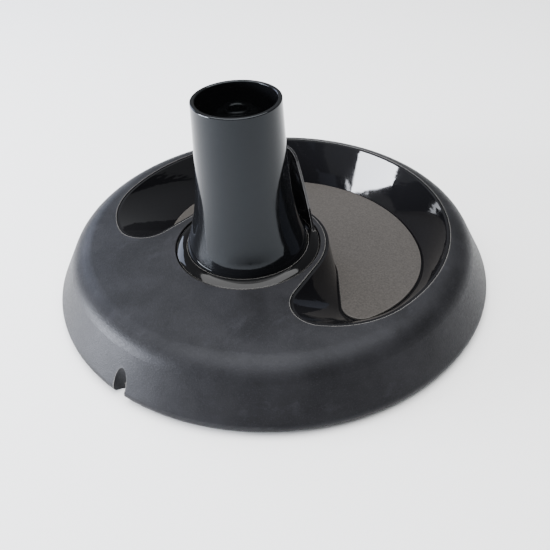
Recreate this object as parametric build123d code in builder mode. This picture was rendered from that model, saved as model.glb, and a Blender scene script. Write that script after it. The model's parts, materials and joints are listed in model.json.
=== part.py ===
"""Round pedestal base: a weighted, moulded foot with a kidney-shaped tray that lifts out,
and the lower section of a glossy column that swivels in it.

Millimetres, +Z up. The origin is the centre of the round base, on the floor.
The tray is in front (-Y). The column and the cord notch are behind (+Y).
"""
import os
from math import acos, atan2, cos, degrees, hypot, radians, sin, sqrt

from build123d import *

os.makedirs("parts", exist_ok=True)

# ---------------------------------------------------------------- driving dimensions

# base shell
floor_gap = 1.5            # the shell's rim stands clear of the floor, on the rubber feet
shell_top = 49.0
shell_foot_r = 193.8       # where the sloping wall would meet the rim's plane
shell_shoulder_r = 168.0   # where the sloping wall would meet the top plane
shoulder_round = 22.0
foot_round = 6.0
shell_wall = 3.2
rim_inner_r = 181.0
rim_height = 9.0
rim_round = 0.8            # on the edges of the openings in its top
boss_hole_depth = 14.0

# column, on an upright axis behind the centre of the base
column_y = 32.0
column_top = 178.0
column_foot_r = 51.0
column_wall = 3.0
socket_r = 30.5            # takes the next section of the column
socket_floor = 144.0
chamber_r = 29.0           # below the socket, for the centring disc and its nut
ledge_z = 126.0

# swivel: the shell's neck, the foot ring that turns in it, and the stop
neck_r = 61.5
neck_skirt = 2.0
neck_bottom = 36.0
ring_r = 60.5
swivel_limit = 45.0        # degrees each way

# kidney tray
tray_gap = 0.5             # all round, between the tray and the shell's opening
tray_wall = 2.2
tray_top = 48.2
tray_bottom = 5.3
tray_floor = 7.3
mat_gap = 0.3
mat_thickness = 1.5
mat_clearance = 0.6        # all round, between the mat and the tray's walls
mat_round = 0.5
# outlines: front arc radius and centre y, arc radius round the column, tip x, y and radius,
# flank radius
RIM = (151.5, -6.0, 66.0, 95.0, 59.5, 25.0, 78.0)
FLOOR = (135.5, -1.5, 77.0, 99.0, 8.5, 16.6, 95.6)
wall_levels = 5            # outlines that each face of the wall is lofted through

# shield on the tray side of the column
shield_foot_r = 59.3
shield_top_r = 53.5
shield_wall = 2.6
shield_foot_z = 47.2
shield_top_z = 117.5
shield_foot_half = 38.0    # half widths, seen from the front
shield_top_half = 14.0
shield_round = 14.0
shield_clear = 20.0        # the cut that shapes it starts this far in front of the axis

# underside
plate_r = 179.5
plate_bottom = 2.5
plate_top = 5.0
fastener_count = 6         # of plate screws, and of feet
boss_ring_r = 171.0
boss_r = 4.5
feet_ring_r = 150.0
foot_r = 10.0
foot_edge = 0.8
foot_stem_r = 3.0
access_r = 22.0
cap_lip = 3.0
cap_thickness = 1.3
cap_gap = 0.2
cap_wall = 2.0

# hub that carries the swivel
hub_r = 50.0
hub_top = 29.0
hub_round = 1.5
washer_seat_z = 28.0
washer_gap = 0.5
thrust_washer_bore = 14.5
hub_web_z = 16.0           # the lock washers press up on the web from below
hub_chamber_r = 21.0
bush_r = 13.0
washer_r = 34.0
spindle_r = 10.0
spindle_hole_r = 10.05     # in the parts that it passes through
spindle_bore = 7.0
spindle_chamfer = 0.8
spindle_bottom = 6.5
spindle_top = 143.0
running_gap = 0.1
turntable_r = 56.0
turntable_bottom = 30.1
turntable_top = 34.0
stop_ring_r = 45.0
stop_pin_r = 2.5
pin_gap = 0.4
pin_bottom = 19.0
pin_top_gap = 1.0          # below the top of the turntable, whose slot it stands in
hub_bolt_ring_r = 38.0
column_screw_ring_r = 39.0
column_screw_angles = (-90, 30, 150)

# ballast
block_r = 164.0
block_y = 62.0
block_top = 36.0
block_gap = 2.0
block_round = 1.0
bar_inner_r = 151.0
bar_outer_r = 164.5
bar_top = 22.0
bar_y = -8.0
bar_screw_angles = (-20, -65, -115, -160)
block_screw_spots = ((40, 125), (-40, 125), (105, 105), (-105, 105))

# cord way, from the hollow spindle to the notch at the back
cord_way = 12.0
cord_slot_length = 32.0    # half of it lies outside the plate's edge
cord_way_top = 15.0
notch_r = 6.2
notch_y = 187.0
notch_pad_r = 9.0
notch_pad_y = 181.0
notch_pad_z = 8.0
clamp_y = 151.0
clamp_bay = (40.0, 26.0)
clamp_bay_y = 155.0
clamp_size = (34.0, 12.0)
clamp_corner = 3.0
clamp_height = 10.0
clamp_groove_r = 4.5
clamp_screw_bottom = 3.0
clamp_screw_x = 12.0

# fasteners
m4_r = 1.9
m5_r = 2.4
m6_r = 3.0
m5_head_r = 4.5
m6_head_r = 5.6
pan_head_r = 4.0
pan_head_height = 1.8
pan_head_round = 1.2
head_depth = 2.2
m5_length = 10.9
m6_length = 15.0
m4_length = 14.0
thread_gap = 0.05
hole_gap = 0.1             # round the screws in their clearance holes
tapped_depth = 16.0
washer_outer_r = 17.0
washer_thickness = 1.5
wave_height = 1.2
web_gap = 0.3
nut_flats = 30.0
nut_height = 6.0
disc_thickness = 8.0
disc_gap = 0.2
disc_holes = 3
disc_hole_r = 4.0
disc_hole_ring_r = 21.5

column_axis = Axis((0, column_y, 0), (0, 0, 1))
column_profile = Plane(origin=(0, column_y, 0), x_dir=(1, 0, 0), z_dir=(0, -1, 0))
on_base = (Align.CENTER, Align.CENTER, Align.MIN)


# ---------------------------------------------------------------- helpers

def around(radius, angles, centre_y=0.0):
    """Spots on a circle, at these angles in degrees from +X."""
    return [(radius * cos(radians(a)), centre_y + radius * sin(radians(a))) for a in angles]


def on_column(z):
    """A level plane at height z, centred on the column's axis."""
    return Plane(origin=(0, column_y, z), x_dir=(1, 0, 0), z_dir=(0, 0, 1))


def countersunk(spots, plane, shank_r, head_r, length, grow=0.0):
    """Countersunk screws, or with grow their holes, standing head down on a plane."""
    with Locations(plane):
        with Locations(*spots):
            Cylinder(shank_r + grow, length, align=on_base)
            Cone(head_r + grow, shank_r + grow, head_depth + grow, align=on_base)


def save(part, name):
    """Label a finished piece and write it to its own file."""
    part.label = name
    export_step(part, f"parts/{name}.step")


def kidney(outline, grow=0.0):
    """Draw a kidney outline in the open BuildLine, moved outwards by grow.

    The right half runs from the arc round the column, along a straight side to the tip, round
    the tip and its flank, into the big front arc. The left half mirrors it.
    """
    front_r, front_y, inner_r, tip_x, tip_y, tip_r, flank_r = outline
    front_r += grow
    inner_r -= grow
    tip_r += grow
    flank_r += grow

    # straight side: crosses between the inner circle and the tip circle, touching both
    apart = hypot(tip_x, tip_y - column_y)
    lean = atan2(tip_y - column_y, tip_x) - acos((inner_r + tip_r) / apart)
    side_start = (inner_r * cos(lean), column_y + inner_r * sin(lean))
    side_end = (tip_x - tip_r * cos(lean), tip_y - tip_r * sin(lean))

    # flank centre: front_r - flank_r from the front arc's centre, flank_r - tip_r from the tip's
    dx, dy = tip_x, tip_y - front_y
    span = hypot(dx, dy)
    reach = front_r - flank_r
    along = (reach**2 - (flank_r - tip_r) ** 2 + span**2) / (2 * span)
    across = sqrt(reach**2 - along**2)
    flank_x = (along * dx + across * dy) / span
    flank_y = front_y + (along * dy - across * dx) / span
    tip_turn = degrees(atan2(tip_y - flank_y, tip_x - flank_x))
    front_turn = degrees(atan2(flank_y - front_y, flank_x))
    lean = degrees(lean)

    arcs = [
        (tip_x, tip_y, tip_r, lean + 180, tip_turn),
        (flank_x, flank_y, flank_r, tip_turn, front_turn),
    ]
    CenterArc((0, column_y), inner_r, -180 - lean, 180 + 2 * lean)
    for x, y, radius, start, end in arcs:
        CenterArc((x, y), radius, start, end - start)
        CenterArc((-x, y), radius, 180 - start, start - end)
    for side in (1, -1):
        Line((side * side_start[0], side_start[1]), (side * side_end[0], side_end[1]))
    CenterArc((0, front_y), front_r, front_turn, -180 - 2 * front_turn)


def kidney_face(outline, grow=0.0):
    """The same outline, filled, in the open BuildSketch."""
    with BuildLine() as edge:
        kidney(outline, grow)
    make_face(edge.edges())


def bowl(low, low_grow, high, high_grow):
    """A solid lofted from the floor's outline at height low to the rim's at height high."""
    with BuildPart() as body:
        for level in range(wall_levels):
            share = level / (wall_levels - 1)
            outline = [a + share * (b - a) for a, b in zip(FLOOR, RIM)]
            with BuildSketch(Plane.XY.offset(low + share * (high - low))):
                kidney_face(outline, low_grow + share * (high_grow - low_grow))
        loft()
    return body.part


# ---------------------------------------------------------------- where the fasteners go

boss_spots = around(boss_ring_r, range(0, 360, 360 // fastener_count))
foot_spots = around(feet_ring_r, range(30, 390, 360 // fastener_count))
hub_bolt_spots = around(hub_bolt_ring_r, range(45, 405, 90), column_y)
bar_screw_spots = around((bar_inner_r + bar_outer_r) / 2, bar_screw_angles)
clamp_screw_spots = [(clamp_screw_x, clamp_y), (-clamp_screw_x, clamp_y)]
column_screw_spots = around(column_screw_ring_r, column_screw_angles)  # from the column's axis

# ---------------------------------------------------------------- base shell

# what is hollowed out of the shell: bosses, neck skirt and notch pad are left standing
wall_slope = (shell_foot_r - shell_shoulder_r) / (shell_top - floor_gap)
level_wall = shell_wall * hypot(1, wall_slope)
hollow_top = shell_top - shell_wall
hollow_foot_r = shell_foot_r - level_wall - wall_slope * (rim_height - floor_gap)
hollow_top_r = shell_foot_r - level_wall - wall_slope * (hollow_top - floor_gap)

with BuildPart() as shell_hollow:
    with BuildSketch(Plane.XZ):
        with BuildLine():
            Polyline(
                (0, floor_gap),
                (rim_inner_r, floor_gap),
                (rim_inner_r, rim_height),
                (hollow_foot_r, rim_height),
                (hollow_top_r, hollow_top),
                (0, hollow_top),
                close=True,
            )
        make_face()
    revolve(axis=Axis.Z)
    top_edge = shell_hollow.edges().group_by(Axis.Z)[-1]
    fillet(top_edge, shoulder_round - shell_wall)
    with BuildSketch(Plane.XY.offset(plate_top)):
        with Locations(*boss_spots):
            Circle(boss_r)
    extrude(amount=hollow_top, mode=Mode.SUBTRACT)
    with BuildSketch(on_column(neck_bottom)):
        Circle(neck_r + neck_skirt)
    extrude(amount=hollow_top, mode=Mode.SUBTRACT)
    with BuildSketch(Plane.XY.offset(notch_pad_z)):
        with Locations((0, notch_pad_y)):
            Circle(notch_pad_r)
    extrude(amount=hollow_top, mode=Mode.SUBTRACT)

with BuildPart() as base_shell:
    with BuildSketch(Plane.XZ):
        with BuildLine():
            Polyline(
                (0, floor_gap),
                (shell_foot_r, floor_gap),
                (shell_shoulder_r, shell_top),
                (0, shell_top),
                close=True,
            )
        make_face()
    revolve(axis=Axis.Z)
    fillet(base_shell.edges().group_by(Axis.Z)[-1], shoulder_round)
    fillet(base_shell.edges().group_by(Axis.Z)[0], foot_round)
    # cord notch, a groove that fades out up the sloping wall
    with BuildSketch(Plane.XY):
        with Locations((0, notch_y)):
            Circle(notch_r)
    extrude(amount=shell_top, mode=Mode.SUBTRACT)
    add(shell_hollow.part, mode=Mode.SUBTRACT)
    # openings for the tray and for the foot ring
    with BuildSketch(Plane.XY.offset(neck_bottom)):
        kidney_face(RIM)
    extrude(amount=shell_top, mode=Mode.SUBTRACT)
    with BuildSketch(on_column(neck_bottom)):
        Circle(neck_r)
    extrude(amount=shell_top, mode=Mode.SUBTRACT)
    rims = base_shell.faces().sort_by(Axis.Z)[-1].inner_wires().edges()
    fillet(rims, rim_round)
    # pilot holes for the plate screws
    with BuildSketch(Plane.XY.offset(plate_top)):
        with Locations(*boss_spots):
            Circle(m4_r + thread_gap)
    extrude(amount=boss_hole_depth, mode=Mode.SUBTRACT)
save(base_shell.part, "base_shell")

# ---------------------------------------------------------------- tray and its mat

with BuildPart() as tray:
    add(bowl(tray_bottom, tray_wall, tray_top, -tray_gap))
    add(bowl(tray_floor, 0.0, tray_top, -tray_gap - tray_wall), mode=Mode.SUBTRACT)
save(tray.part, "tray")

with BuildPart() as tray_mat:
    with BuildSketch(Plane.XY.offset(tray_floor + mat_gap)):
        kidney_face(FLOOR, -mat_clearance)
    extrude(amount=mat_thickness)
    fillet(tray_mat.edges().group_by(Axis.Z)[-1], mat_round)
save(tray_mat.part, "tray_mat")

# ---------------------------------------------------------------- column and what turns with it

# the flare, from the socket down to the foot
flare = [
    (column_foot_r, 46.0),
    (46.6, 66.0),
    (42.0, 83.0),
    (38.2, 106.0),
    (35.6, 140.0),
    (33.8, column_top),
]
inside = [(r - column_wall, z) for r, z in flare[:4]]
foot_flange_r = 30.0
foot_flange = 4.0
foot_flange_top = turntable_top + foot_flange
ledge_r = 26.0
ledge_depth = 6.0

# foot ring: a crowned top, a skirt down to the turntable, and a seat for the shield's foot
ring_slip = 0.4
ring_skirt = 2.6
ring_inner_r = column_foot_r + ring_slip
ring_skirt_r = ring_inner_r + ring_skirt
ring_flange_bottom = 45.0
ring_crown = [(ring_inner_r, 50.6), (57.0, 49.9), (ring_r, 47.9)]
seat_gap = 0.1
seat_depth = 5.0

with BuildPart() as column:
    with BuildSketch(column_profile):
        with BuildLine():
            Polyline((foot_flange_r, turntable_top), (column_foot_r, turntable_top), flare[0])
            Spline(*flare, tangents=((0, 1), (-0.04, 1)))
            Polyline(
                flare[-1],
                (socket_r, column_top),
                (socket_r, socket_floor),
                (chamber_r, socket_floor),
                (chamber_r, ledge_z),
                (ledge_r, ledge_z),
                (ledge_r, ledge_z - ledge_depth),
                inside[-1],
            )
            Spline(*inside, tangents=((0, 1), (-0.1, 1)))
            Polyline(
                inside[0],
                (inside[0][0], foot_flange_top),
                (foot_flange_r, foot_flange_top),
                (foot_flange_r, turntable_top),
            )
        make_face()
    revolve(axis=column_axis)
    fillet(column.edges().group_by(Axis.Z)[-1], rim_round)
    with BuildSketch(on_column(turntable_top)):
        with Locations(*column_screw_spots):
            Circle(m5_r + thread_gap)
    extrude(amount=foot_flange_top - turntable_top, mode=Mode.SUBTRACT)
save(column.part, "column")

with BuildPart() as foot_ring:
    with BuildSketch(column_profile):
        with BuildLine():
            Polyline(
                ring_crown[-1],
                (ring_r, ring_flange_bottom),
                (ring_skirt_r, ring_flange_bottom),
                (ring_skirt_r, turntable_top),
                (ring_inner_r, turntable_top),
                ring_crown[0],
            )
            ThreePointArc(*ring_crown)
        make_face()
    revolve(axis=column_axis)
    with BuildSketch(on_column(shield_foot_z)):
        Circle(shield_foot_r + seat_gap)
        Circle(shield_foot_r - shield_wall - 5 * seat_gap, mode=Mode.SUBTRACT)
        with Locations((0, -ring_r)):
            Rectangle(2 * (shield_foot_half + 2 * seat_gap), ring_r, mode=Mode.INTERSECT)
    extrude(amount=seat_depth, mode=Mode.SUBTRACT)
save(foot_ring.part, "foot_ring")

with BuildPart() as column_shield:
    with BuildSketch(column_profile):
        with BuildLine():
            Polyline(
                (shield_foot_r - shield_wall, shield_foot_z),
                (shield_foot_r, shield_foot_z),
                (shield_top_r, shield_top_z),
                (shield_top_r - shield_wall, shield_top_z),
                close=True,
            )
        make_face()
    revolve(axis=column_axis)
    with BuildSketch(column_profile.offset(shield_clear)):
        with BuildLine():
            Polyline(
                (-shield_foot_half, shield_foot_z),
                (shield_foot_half, shield_foot_z),
                (shield_top_half, shield_top_z),
                (-shield_top_half, shield_top_z),
                close=True,
            )
        face = make_face()
        fillet(face.vertices().group_by(Axis.Y)[-1], shield_round)
    extrude(amount=shield_foot_r, mode=Mode.INTERSECT)
save(column_shield.part, "column_shield")

# the stop pin's slot, longer than the swing by the pin and its gap at both ends
slot_half = swivel_limit + degrees((stop_pin_r + pin_gap) / stop_ring_r)
slot_inner_r = stop_ring_r - stop_pin_r - pin_gap
slot_outer_r = stop_ring_r + stop_pin_r + pin_gap

with BuildPart() as column_screw_holes:
    countersunk(column_screw_spots, on_column(turntable_bottom), m5_r, m5_head_r, m5_length,
                grow=hole_gap)

with BuildPart() as turntable:
    with BuildSketch(on_column(turntable_bottom)):
        Circle(turntable_r)
        Circle(spindle_hole_r, mode=Mode.SUBTRACT)
        with BuildLine():
            near = CenterArc((0, 0), slot_inner_r, 90 - slot_half, 2 * slot_half)
            far = CenterArc((0, 0), slot_outer_r, 90 - slot_half, 2 * slot_half)
            Line(near @ 0, far @ 0)
            Line(near @ 1, far @ 1)
        make_face(mode=Mode.SUBTRACT)
    extrude(amount=turntable_top - turntable_bottom)
    add(column_screw_holes.part, mode=Mode.SUBTRACT)
save(turntable.part, "turntable")

with BuildPart() as column_screws:
    countersunk(column_screw_spots, on_column(turntable_bottom), m5_r, m5_head_r, m5_length)
save(column_screws.part, "column_screws")

with BuildPart() as tie_tube:
    with BuildSketch(on_column(spindle_bottom)):
        Circle(spindle_r)
        Circle(spindle_bore, mode=Mode.SUBTRACT)
    extrude(amount=spindle_top - spindle_bottom)
    chamfer(tie_tube.edges().filter_by(GeomType.CIRCLE).group_by(Axis.Z)[-1], spindle_chamfer)
save(tie_tube.part, "tie_tube")


def ring(name, bottom, top, outer_r, inner_r=spindle_hole_r):
    """A plain washer round the column's axis."""
    with BuildPart() as washer:
        with BuildSketch(on_column(bottom)):
            Circle(outer_r)
            Circle(inner_r, mode=Mode.SUBTRACT)
        extrude(amount=top - bottom)
    save(washer.part, name)


def hexagon_nut(name, bottom, top, across_flats):
    """A hexagon nut on the hollow spindle."""
    with BuildPart() as nut:
        with BuildSketch(on_column(bottom)):
            RegularPolygon(across_flats / 2, 6, major_radius=False)
            Circle(spindle_hole_r, mode=Mode.SUBTRACT)
        extrude(amount=top - bottom)
    save(nut.part, name)


# above the ledge: disc, washer, nut. Below the hub's web: washer, wave washer, nut.
disc_top = ledge_z + disc_thickness
top_washer_top = disc_top + washer_thickness
lower_washer_top = hub_web_z - web_gap
lower_washer_bottom = lower_washer_top - washer_thickness
wave_bottom = lower_washer_bottom - wave_height
ring("top_washer", disc_top, top_washer_top, washer_outer_r)
hexagon_nut("top_nut", top_washer_top, top_washer_top + nut_height, nut_flats)
ring("lower_washer", lower_washer_bottom, lower_washer_top, washer_outer_r)
ring("wave_washer", wave_bottom, lower_washer_bottom, washer_outer_r)
hexagon_nut("lock_nut", wave_bottom - nut_height, wave_bottom, nut_flats)

with BuildPart() as centring_disc:
    with BuildSketch(on_column(ledge_z)):
        Circle(chamber_r - disc_gap)
        Circle(spindle_hole_r, mode=Mode.SUBTRACT)
        with PolarLocations(disc_hole_ring_r, disc_holes):
            Circle(disc_hole_r, mode=Mode.SUBTRACT)
    extrude(amount=disc_thickness)
save(centring_disc.part, "centring_disc")

# ---------------------------------------------------------------- hub that the column turns in

with BuildPart() as hub:
    with BuildSketch(on_column(plate_top)):
        Circle(hub_r)
    extrude(amount=hub_top - plate_top)
    fillet(hub.edges().group_by(Axis.Z)[-1], hub_round)
    with BuildSketch(on_column(washer_seat_z)):
        Circle(washer_r + washer_gap)
    extrude(amount=hub_top - washer_seat_z, mode=Mode.SUBTRACT)
    with BuildSketch(on_column(hub_web_z)):
        Circle(bush_r)
    extrude(amount=hub_top - hub_web_z, mode=Mode.SUBTRACT)
    with BuildSketch(on_column(plate_top)):
        Circle(hub_chamber_r)
    extrude(amount=hub_web_z - plate_top, mode=Mode.SUBTRACT)
    with BuildSketch(on_column(plate_top)):
        with Locations((0, hub_r / 2)):
            Rectangle(cord_way, hub_r)
    extrude(amount=cord_way_top - plate_top, mode=Mode.SUBTRACT)
    with BuildSketch(on_column(plate_top)):
        with PolarLocations(hub_bolt_ring_r, 4, start_angle=45):
            Circle(m6_r + thread_gap)
    extrude(amount=tapped_depth, mode=Mode.SUBTRACT)
    with BuildSketch(on_column(pin_bottom)):
        with Locations((0, stop_ring_r)):
            Circle(stop_pin_r)
    extrude(amount=hub_top, mode=Mode.SUBTRACT)
save(hub.part, "hub")

with BuildPart() as stop_pin:
    with BuildSketch(on_column(pin_bottom)):
        with Locations((0, stop_ring_r)):
            Circle(stop_pin_r)
    extrude(amount=turntable_top - pin_top_gap - pin_bottom)
save(stop_pin.part, "stop_pin")

ring("pivot_bush", hub_web_z, washer_seat_z, bush_r)
ring("thrust_washer", washer_seat_z, turntable_bottom - running_gap, washer_r,
     thrust_washer_bore)

# ---------------------------------------------------------------- ballast

with BuildPart() as ballast_block:
    with BuildSketch(Plane.XY.offset(plate_top)):
        Circle(block_r)
        with Locations((0, block_y + block_r)):
            Rectangle(2 * block_r, 2 * block_r, mode=Mode.INTERSECT)
        with Locations((0, column_y)):
            Circle(neck_r + neck_skirt + block_gap, mode=Mode.SUBTRACT)
        with BuildLine() as tray_clearance:
            kidney(RIM, block_gap)
        make_face(tray_clearance.edges(), mode=Mode.SUBTRACT)
        with Locations((0, clamp_bay_y)):
            Rectangle(*clamp_bay, mode=Mode.SUBTRACT)
    extrude(amount=block_top - plate_top)
    fillet(ballast_block.edges().group_by(Axis.Z)[-1], block_round)
    with BuildSketch(Plane.XY.offset(plate_top)):
        with Locations((0, block_r / 2)):
            Rectangle(cord_way, block_r)
    extrude(amount=cord_way_top - plate_top, mode=Mode.SUBTRACT)
    with BuildSketch(Plane.XY.offset(plate_top)):
        with Locations(*block_screw_spots):
            Circle(m6_r + thread_gap)
    extrude(amount=tapped_depth, mode=Mode.SUBTRACT)
save(ballast_block.part, "ballast_block")

with BuildPart() as ballast_bar:
    with BuildSketch(Plane.XY.offset(plate_top)):
        Circle(bar_outer_r)
        Circle(bar_inner_r, mode=Mode.SUBTRACT)
        with Locations((0, bar_y - bar_outer_r)):
            Rectangle(2 * bar_outer_r, 2 * bar_outer_r, mode=Mode.INTERSECT)
    extrude(amount=bar_top - plate_top)
    with BuildSketch(Plane.XY.offset(plate_top)):
        with Locations(*bar_screw_spots):
            Circle(m6_r + thread_gap)
    extrude(amount=tapped_depth, mode=Mode.SUBTRACT)
save(ballast_bar.part, "ballast_bar")

# ---------------------------------------------------------------- base plate, feet and fasteners

plate_thickness = plate_top - plate_bottom
ballast_spots = list(block_screw_spots) + bar_screw_spots
underside = Plane.XY.offset(plate_bottom)

with BuildPart() as plate_holes:
    countersunk(hub_bolt_spots + ballast_spots, underside, m6_r, m6_head_r, plate_thickness,
                grow=hole_gap)

with BuildPart() as base_plate:
    with BuildSketch(underside):
        Circle(plate_r)
        with Locations((0, column_y)):
            Circle(access_r, mode=Mode.SUBTRACT)
        with Locations(*boss_spots):
            Circle(m4_r + 3 * hole_gap, mode=Mode.SUBTRACT)
        with Locations(*foot_spots):
            Circle(foot_stem_r + thread_gap, mode=Mode.SUBTRACT)
        with Locations(*clamp_screw_spots):
            Circle(m4_r + thread_gap, mode=Mode.SUBTRACT)
        with Locations((0, plate_r)):
            SlotOverall(cord_slot_length, cord_way, rotation=90, mode=Mode.SUBTRACT)
    extrude(amount=plate_thickness)
    add(plate_holes.part, mode=Mode.SUBTRACT)
save(base_plate.part, "base_plate")

with BuildPart() as hub_bolts:
    countersunk(hub_bolt_spots, underside, m6_r, m6_head_r, m6_length)
save(hub_bolts.part, "hub_bolts")

with BuildPart() as ballast_screws:
    countersunk(ballast_spots, underside, m6_r, m6_head_r, m6_length)
save(ballast_screws.part, "ballast_screws")

with BuildPart() as plate_screws:
    with BuildSketch(underside):
        with Locations(*boss_spots):
            Circle(pan_head_r)
    extrude(amount=-pan_head_height)
    fillet(plate_screws.edges().group_by(Axis.Z)[0], pan_head_round)
    with BuildSketch(underside):
        with Locations(*boss_spots):
            Circle(m4_r)
    extrude(amount=m4_length)
save(plate_screws.part, "plate_screws")

for number, spot in enumerate(foot_spots, start=1):
    with BuildPart() as foot:
        with BuildSketch(Plane.XY):
            with Locations(spot):
                Circle(foot_r)
        extrude(amount=plate_bottom)
        fillet(foot.edges().group_by(Axis.Z)[0], foot_edge)
        with BuildSketch(underside):
            with Locations(spot):
                Circle(foot_stem_r)
        extrude(amount=plate_thickness)
    save(foot.part, f"foot_{number}")

with BuildPart() as access_cap:
    with BuildSketch(on_column(plate_bottom)):
        Circle(access_r + cap_lip)
    extrude(amount=-cap_thickness)
    with BuildSketch(on_column(plate_bottom)):
        Circle(access_r - cap_gap)
        Circle(access_r - cap_gap - cap_wall, mode=Mode.SUBTRACT)
    extrude(amount=plate_thickness)
save(access_cap.part, "access_cap")

with BuildPart() as cord_clamp:
    with BuildSketch(Plane.XY.offset(plate_top)):
        with Locations((0, clamp_y)):
            RectangleRounded(*clamp_size, clamp_corner)
    extrude(amount=clamp_height)
    with BuildSketch(Plane.XZ.offset(-clamp_y)):
        with Locations((0, plate_top)):
            Circle(clamp_groove_r)
    extrude(amount=clamp_size[1] / 2, both=True, mode=Mode.SUBTRACT)
    with BuildSketch(Plane.XY.offset(plate_top)):
        with Locations(*clamp_screw_spots):
            Circle(m4_r + 3 * hole_gap)
    extrude(amount=clamp_height, mode=Mode.SUBTRACT)
save(cord_clamp.part, "cord_clamp")

with BuildPart() as clamp_screws:
    clamp_top = plate_top + clamp_height
    with BuildSketch(Plane.XY.offset(clamp_screw_bottom)):
        with Locations(*clamp_screw_spots):
            Circle(m4_r)
    extrude(amount=clamp_top - clamp_screw_bottom)
    with BuildSketch(Plane.XY.offset(clamp_top)):
        with Locations(*clamp_screw_spots):
            Circle(pan_head_r)
    extrude(amount=pan_head_height)
save(clamp_screws.part, "clamp_screws")
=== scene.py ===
"""Looks for the pedestal base: studio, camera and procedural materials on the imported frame."""
import json
from math import cos, radians, sin

import bpy
from mathutils import Matrix, Vector

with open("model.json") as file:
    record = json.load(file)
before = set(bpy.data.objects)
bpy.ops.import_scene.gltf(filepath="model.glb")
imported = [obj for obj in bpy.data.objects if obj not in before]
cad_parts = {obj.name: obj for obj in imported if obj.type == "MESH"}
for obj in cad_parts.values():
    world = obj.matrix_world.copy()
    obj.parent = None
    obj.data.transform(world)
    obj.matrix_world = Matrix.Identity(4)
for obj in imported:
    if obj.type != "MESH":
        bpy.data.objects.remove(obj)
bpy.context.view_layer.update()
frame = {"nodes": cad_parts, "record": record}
nodes = frame["nodes"]

# ---------------------------------------------------------------- camera at the photograph's angle

CAMERA_AT = Vector((-0.2890, 0.3547, 0.3709))
CAMERA_HEADING = 129.0       # degrees about +Z from +X to where the camera stands
CAMERA_DOWN = 39.8           # degrees below the horizon
CAMERA_ROLL = 3.0            # degrees that the picture leans, anticlockwise
CAMERA_LENS = 41.4           # mm on a 36 mm sensor


def add_camera():
    """The camera that the photograph's outline was fitted with."""
    heading = radians(CAMERA_HEADING)
    down = radians(CAMERA_DOWN)
    roll = radians(CAMERA_ROLL)
    inward = Vector((-cos(heading), -sin(heading), 0.0))
    back = -(inward * cos(down) - Vector((0, 0, sin(down))))
    right = inward.cross(Vector((0, 0, 1))).normalized()
    up = back.cross(right)
    leaning_right = right * cos(roll) - up * sin(roll)
    leaning_up = right * sin(roll) + up * cos(roll)
    turn = Matrix((leaning_right, leaning_up, back)).transposed().to_4x4()
    data = bpy.data.cameras.new("camera")
    data.sensor_width = 36.0
    data.lens = CAMERA_LENS
    data.clip_start = 0.01
    camera = bpy.data.objects.new("camera", data)
    camera.matrix_world = Matrix.Translation(CAMERA_AT) @ turn
    bpy.context.scene.collection.objects.link(camera)
    bpy.context.scene.camera = camera


# ---------------------------------------------------------------- studio

FLOOR_HALF = 4.0             # metres
FLOOR_ALBEDO = 0.9
SKY_COLOUR = (0.94, 0.97, 1.0)
SKY_STRENGTH = 0.34
LIGHTS_AIM = (0, 0, 0.05)
# name, place and size in metres, watts, colour
LIGHTS = [
    ("overhead", (0.1, 0.0, 1.8), (2.3, 2.3), 130, (1.0, 1.0, 1.0)),
    ("side_softbox", (1.5, -0.2, 0.7), (0.8, 0.7), 13, (0.70, 0.78, 1.0)),
    ("low_softbox", (1.0, 1.08, 0.24), (0.82, 0.44), 89, (0.9, 0.93, 1.0)),
]


def area_light(name, at, size, power, colour):
    data = bpy.data.lights.new(name, "AREA")
    data.shape = "RECTANGLE"
    data.size, data.size_y = size
    data.energy = power
    data.color = colour
    lamp = bpy.data.objects.new(name, data)
    lamp.location = at
    lamp.rotation_euler = (Vector(LIGHTS_AIM) - Vector(at)).to_track_quat("-Z", "Y").to_euler()
    bpy.context.scene.collection.objects.link(lamp)


def add_studio():
    """A pale floor, an even sky and three soft lights."""
    world = bpy.data.worlds.new("studio")
    bpy.context.scene.world = world
    world.use_nodes = True
    background = world.node_tree.nodes["Background"]
    background.inputs["Color"].default_value = (*SKY_COLOUR, 1.0)
    background.inputs["Strength"].default_value = SKY_STRENGTH
    mesh = bpy.data.meshes.new("floor")
    half = FLOOR_HALF
    mesh.from_pydata([(-half, -half, 0), (half, -half, 0), (half, half, 0), (-half, half, 0)],
                     [], [(0, 1, 2, 3)])
    floor = bpy.data.objects.new("floor", mesh)
    bpy.context.scene.collection.objects.link(floor)
    paint = bpy.data.materials.new("floor_paint")
    paint.use_nodes = True
    shader = paint.node_tree.nodes["Principled BSDF"]
    shader.inputs["Base Color"].default_value = (FLOOR_ALBEDO, FLOOR_ALBEDO, FLOOR_ALBEDO, 1)
    shader.inputs["Roughness"].default_value = 0.9
    mesh.materials.append(paint)
    for light in LIGHTS:
        area_light(*light)


# ---------------------------------------------------------------- materials

SHELL_DARK = (0.0066, 0.0066, 0.0073)
SHELL_LIGHT = (0.0145, 0.0145, 0.0163)
SHELL_SCUFF = (0.0253, 0.0253, 0.0297)
# pale base colour of the painted highlight on the shell's rounded edges
SHELL_EDGE_HIGHLIGHT = (0.1650, 0.1606, 0.1518)
SHELL_TINT = (0.88, 0.91, 1.0)
SHELL_SPECULAR = 0.128
MAT_DARK = (0.0290, 0.0266, 0.0244)
MAT_LIGHT = (0.0495, 0.0449, 0.0414)
# pale base colour of the painted highlight on the mat's rounded edge
MAT_EDGE_HIGHLIGHT = (0.1650, 0.1584, 0.1496)
MAT_SPECULAR = 0.22
# pale base colours of the painted highlights on the shield's and the ring's rounded edges
GLOSS_EDGE_HIGHLIGHT = (0.1540, 0.1540, 0.1584)
RING_EDGE_HIGHLIGHT = (0.1540, 0.1496, 0.1430)
COOL = (0.84, 0.92, 1.0)     # tint of what the column reflects
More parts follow.
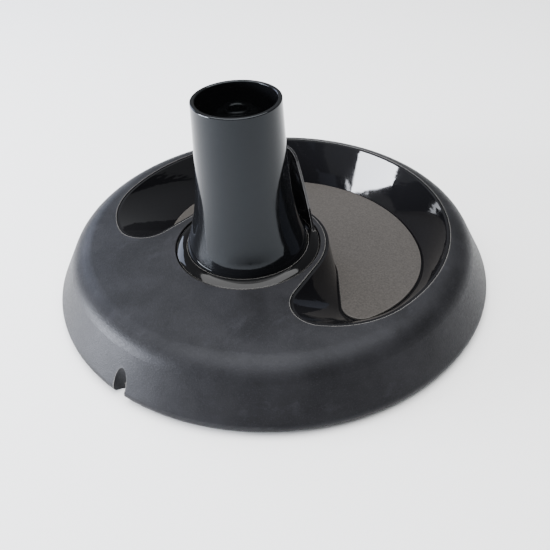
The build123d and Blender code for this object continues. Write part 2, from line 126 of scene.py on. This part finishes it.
# radius of the rounded edges that get a painted highlight in their base colour
EDGE_HIGHLIGHT_RADIUS = 0.0012           # metres
# nodes that look a little different from the rest of their slot
OWN_LOOKS = {"foot_ring": "gloss_ring", "column_shield": "gloss_shield"}


class Shader:
    """A Principled material whose textures read the object's own coordinates, in metres."""

    def __init__(self, name, colour, roughness, metallic=0.0):
        self.material = bpy.data.materials.new(name)
        self.material.use_nodes = True
        self.tree = self.material.node_tree
        self.principled = self.tree.nodes["Principled BSDF"]
        self.set("Base Color", (*colour, 1.0))
        self.set("Roughness", roughness)
        self.set("Metallic", metallic)
        self.coordinates = self.tree.nodes.new("ShaderNodeTexCoord").outputs["Object"]
        self.height = None

    def set(self, socket, value):
        self.principled.inputs[socket].default_value = value

    def link(self, source, target):
        self.tree.links.new(source, target)

    def stretched(self, scale):
        mapping = self.tree.nodes.new("ShaderNodeMapping")
        mapping.inputs["Scale"].default_value = scale
        self.link(self.coordinates, mapping.inputs["Vector"])
        return mapping.outputs["Vector"]

    def noise(self, size, detail=2.0, roughness=0.5, stretch=None):
        """Noise whose features are about size metres across."""
        node = self.tree.nodes.new("ShaderNodeTexNoise")
        node.inputs["Scale"].default_value = 1.0 / size
        node.inputs["Detail"].default_value = detail
        node.inputs["Roughness"].default_value = roughness
        source = self.stretched(stretch) if stretch else self.coordinates
        self.link(source, node.inputs["Vector"])
        return node.outputs["Fac"]

    def ramp(self, source, low, high, low_value, high_value):
        node = self.tree.nodes.new("ShaderNodeMapRange")
        node.inputs["From Min"].default_value = low
        node.inputs["From Max"].default_value = high
        node.inputs["To Min"].default_value = low_value
        node.inputs["To Max"].default_value = high_value
        self.link(source, node.inputs["Value"])
        return node.outputs["Result"]

    def mix_colour(self, factor, first, second):
        """Mix two colours, each a tuple or a socket."""
        node = self.tree.nodes.new("ShaderNodeMix")
        node.data_type = "RGBA"
        for socket, colour in (("A", first), ("B", second)):
            if isinstance(colour, tuple):
                node.inputs[socket].default_value = (*colour, 1.0)
            else:
                self.link(colour, node.inputs[socket])
        self.link(factor, node.inputs["Factor"])
        return node.outputs["Result"]

    def edges(self, radius):
        """1 on edges that a bevel of this radius would round off, 0 on flat faces."""
        bevel = self.tree.nodes.new("ShaderNodeBevel")
        bevel.inputs["Radius"].default_value = radius
        surface = self.tree.nodes.new("ShaderNodeNewGeometry")
        dot = self.tree.nodes.new("ShaderNodeVectorMath")
        dot.operation = "DOT_PRODUCT"
        self.link(bevel.outputs["Normal"], dot.inputs[0])
        self.link(surface.outputs["Normal"], dot.inputs[1])
        return self.ramp(dot.outputs["Value"], 0.97, 0.80, 0.0, 1.0)

    def bump(self, height, depth, strength=1.0):
        node = self.tree.nodes.new("ShaderNodeBump")
        node.inputs["Distance"].default_value = depth
        node.inputs["Strength"].default_value = strength
        self.link(height, node.inputs["Height"])
        if self.height is not None:
            self.link(self.height, node.inputs["Normal"])
        self.height = node.outputs["Normal"]
        self.link(self.height, self.principled.inputs["Normal"])


def textured_shell():
    """Spark-eroded plastic: fine grain, soft mottling, faint scuffs and a painted highlight along
    its edges.
    """
    s = Shader("textured_shell", SHELL_DARK, 0.5)
    s.set("Specular IOR Level", SHELL_SPECULAR)
    s.set("Specular Tint", (*SHELL_TINT, 1.0))
    mottling = s.ramp(s.noise(0.05, 5.0, 0.6), 0.38, 0.68, 0.0, 1.0)
    body = s.mix_colour(mottling, SHELL_DARK, SHELL_LIGHT)
    specks = s.ramp(s.noise(0.0009, 1.0), 0.55, 0.75, 0.0, 0.35)
    body = s.mix_colour(specks, body, SHELL_SCUFF)
    streaks = s.ramp(s.noise(0.016, 8.0, 0.7, (1.0, 0.45, 1.0)), 0.56, 0.78, 0.0, 0.6)
    scuffed = s.mix_colour(streaks, body, SHELL_SCUFF)
    # painted highlight: a pale colour on the rounded edges stands in for the light they catch
    edge_highlighted = s.mix_colour(s.edges(EDGE_HIGHLIGHT_RADIUS), scuffed, SHELL_EDGE_HIGHLIGHT)
    s.link(edge_highlighted, s.principled.inputs["Base Color"])
    s.link(s.ramp(s.noise(0.0022, 2.0), 0.3, 0.7, 0.38, 0.49), s.principled.inputs["Roughness"])
    s.bump(s.noise(0.0011, 3.0, 0.6), 0.00028, 0.6)
    return s.material


def gloss(name, colour, specular, edge=None, tint=(1.0, 1.0, 1.0)):
    """High gloss plastic with a slight waviness, and a painted highlight on its edges where edge is
    a colour.
    """
    s = Shader(name, colour, 0.05)
    s.set("Specular IOR Level", specular)
    s.set("Specular Tint", (*tint, 1.0))
    if edge:
        # painted highlight: a pale colour on the rounded edges stands in for the light they catch
        s.link(s.mix_colour(s.edges(EDGE_HIGHLIGHT_RADIUS), colour, edge), s.principled.inputs["Base Color"])
    s.link(s.ramp(s.noise(0.03, 4.0, 0.6), 0.35, 0.75, 0.03, 0.10), s.principled.inputs["Roughness"])
    s.bump(s.noise(0.06, 1.0), 0.0006, 0.25)
    return s.material


def grey_mat():
    """Matte mat: a fine pebbled mix of two greys, with a painted highlight at its edge."""
    s = Shader("grey_mat", MAT_DARK, 0.75)
    tone = s.noise(0.0016, 3.0, 0.65)
    s.set("Specular IOR Level", MAT_SPECULAR)
    pebbles = s.mix_colour(s.ramp(tone, 0.3, 0.7, 0.0, 1.0), MAT_DARK, MAT_LIGHT)
    # painted highlight: a pale colour on the mat's rounded edge stands in for the light it catches
    s.link(s.mix_colour(s.edges(EDGE_HIGHLIGHT_RADIUS), pebbles, MAT_EDGE_HIGHLIGHT), s.principled.inputs["Base Color"])
    s.bump(s.noise(0.0012, 2.0, 0.6), 0.0003, 0.7)
    return s.material


def plain(name, colour, roughness, metallic=0.0, grain=0.0015, depth=0.0001):
    """A plain finish: slight variation of colour and roughness over a fine grain."""
    s = Shader(name, colour, roughness, metallic)
    darker = tuple(c * 0.8 for c in colour)
    s.link(s.mix_colour(s.noise(grain * 8, 3.0), darker, colour), s.principled.inputs["Base Color"])
    s.link(s.ramp(s.noise(grain * 3), 0.3, 0.7, roughness * 0.85, min(1.0, roughness * 1.15)),
           s.principled.inputs["Roughness"])
    s.bump(s.noise(grain, 2.0), depth, 0.6)
    return s.material


def dress(materials):
    """Give every CAD node the material of its record slot, or its own variant of it."""
    slots = {row["node"]: row["material_slot"] for row in frame["record"]["subparts"]}
    for name, node in nodes.items():
        look = OWN_LOOKS.get(name, slots[name])
        node.data.materials.clear()
        node.data.materials.append(materials[look])


add_camera()
add_studio()
materials = {
    "textured_shell": textured_shell(),
    "gloss_tray": gloss("gloss_tray", (0.0053, 0.0053, 0.0062), 0.37),
    "gloss_column": gloss("gloss_column", (0.0040, 0.0042, 0.0048), 0.24, tint=COOL),
    "gloss_ring": gloss("gloss_ring", (0.0026, 0.0026, 0.0029), 0.187, RING_EDGE_HIGHLIGHT),
    "gloss_shield": gloss("gloss_shield", (0.0132, 0.0132, 0.0145), 0.33, GLOSS_EDGE_HIGHLIGHT),
    "grey_mat": grey_mat(),
    "black_plate": plain("black_plate", (0.02, 0.02, 0.021), 0.45),
    "iron": plain("iron", (0.09, 0.088, 0.085), 0.7, 0.6, 0.003, 0.0004),
    "zinc_steel": plain("zinc_steel", (0.55, 0.55, 0.53), 0.3, 1.0),
    "white_acetal": plain("white_acetal", (0.7, 0.7, 0.67), 0.45),
    "black_nylon": plain("black_nylon", (0.02, 0.02, 0.021), 0.5),
    "black_rubber": plain("black_rubber", (0.018, 0.018, 0.018), 0.8),
}
dress(materials)
